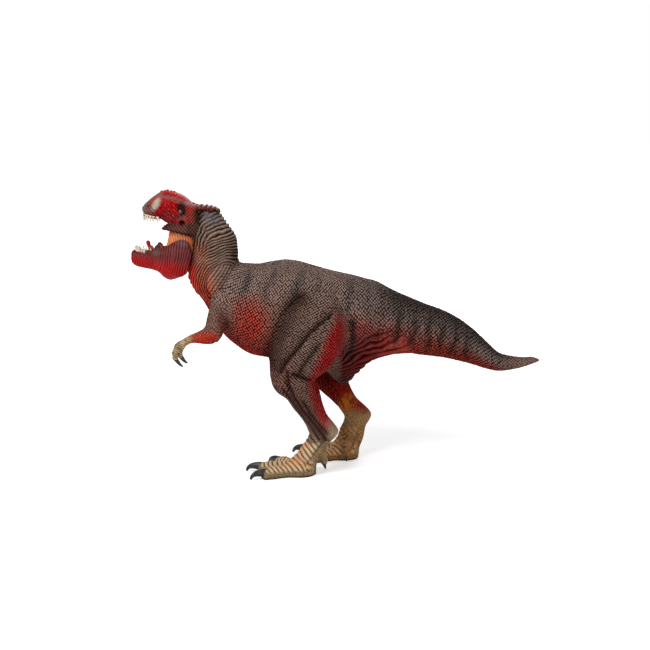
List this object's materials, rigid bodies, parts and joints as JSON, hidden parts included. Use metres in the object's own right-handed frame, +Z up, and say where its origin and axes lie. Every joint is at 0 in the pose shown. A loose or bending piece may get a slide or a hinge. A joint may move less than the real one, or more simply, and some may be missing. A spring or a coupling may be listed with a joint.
{
  "type": "toy dinosaur figure",
  "caption": "Walking two-legged hunting dinosaur figure in painted solid vinyl, mouth open, with a lower jaw that turns on a pin.",
  "frame": {"origin": "middle of the figure's outline on the surface that it stands on", "axes": "+Z up, head towards -X and tail towards +X, the figure's left side towards -Y"},
  "size_m": [0.2036, 0.0658, 0.1388],
  "materials": {
    "back_paint": "matt airbrushed vinyl: dark taupe scales, black recesses, red flanks and underside",
    "limb_paint": "matt airbrushed vinyl: brown scales, red rear edges",
    "foot_paint": "matt tan vinyl with dark wash between the scutes",
    "face_paint": "satin red with a grey-brown snout and brow",
    "jaw_paint": "satin red below, maroon-brown above",
    "lining_paint": "satin orange",
    "tongue_paint": "gloss red",
    "tooth_paint": "gloss cream",
    "eye_paint": "gloss red with a dark pupil",
    "claw_paint": "semi-gloss dark grey",
    "pin_steel": "plain"
  },
  "bodies": {
    "figure": {"torso": "back_paint", "neck": "back_paint", "tail": "back_paint", "head": "face_paint", "mouth_lining": "lining_paint", "upper_teeth": "tooth_paint", "left_eye": "eye_paint", "right_eye": "eye_paint", "jaw_pin": "pin_steel", "left_arm": "limb_paint", "right_arm": "limb_paint", "left_leg": "limb_paint", "right_leg": "limb_paint", "left_foot": "foot_paint", "right_foot": "foot_paint", "left_foot_claw_1": "claw_paint", "left_foot_claw_2": "claw_paint", "left_foot_claw_3": "claw_paint", "left_foot_claw_4": "claw_paint", "right_foot_claw_1": "claw_paint", "right_foot_claw_2": "claw_paint", "right_foot_claw_3": "claw_paint", "right_foot_claw_4": "claw_paint", "left_hand_claw_1": "claw_paint", "left_hand_claw_2": "claw_paint", "right_hand_claw_1": "claw_paint", "right_hand_claw_2": "claw_paint"},
    "jaw": {"lower_jaw": "jaw_paint", "lower_teeth": "tooth_paint", "tongue": "tongue_paint"}
  },
  "joints": [
    {"name": "jaw_hinge", "type": "hinge", "parent": "figure", "child": "jaw", "pos_m": [-0.07766, -0.00148, 0.10898], "axis": [0, 1, 0], "range_deg": [0, 33]}
  ]
}
